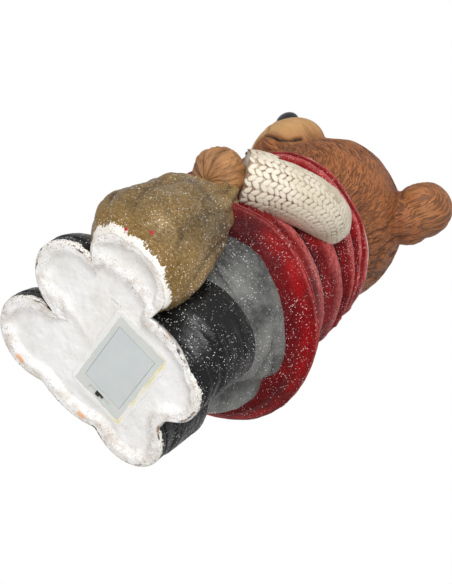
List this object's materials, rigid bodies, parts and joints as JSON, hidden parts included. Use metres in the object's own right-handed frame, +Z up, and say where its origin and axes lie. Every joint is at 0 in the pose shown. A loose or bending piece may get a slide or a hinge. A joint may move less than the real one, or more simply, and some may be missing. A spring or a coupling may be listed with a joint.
{
  "type": "standing christmas bear figurine",
  "caption": "Cast and painted bear figurine in vest, trousers and boots beside a sack, with a battery box and slide switch let into its dished underside.",
  "frame": {"origin": "middle of the outline, on the surface the bear stands on", "axes": "+Z up, the bear looks along -Y, its left hand and the sack are at +X"},
  "size_m": [0.3014, 0.2528, 0.5088],
  "materials": {
    "painted_cast_stone": "hand-painted cast magnesia stone, satin, with white glitter flecks",
    "translucent_plastic": "translucent off-white moulded plastic",
    "lid_plastic": "satin pale grey moulded plastic",
    "switch_plastic": "black moulded plastic"
  },
  "bodies": {
    "bear": {"bear_figure": "painted_cast_stone", "battery_housing": "translucent_plastic", "battery_lid": "lid_plastic"},
    "switch": {"switch_slider": "switch_plastic"}
  },
  "joints": [
    {"name": "switch_slide", "type": "slide", "parent": "bear", "child": "switch", "axis": [0, 1, 0], "range_m": [0, 0.004]}
  ]
}
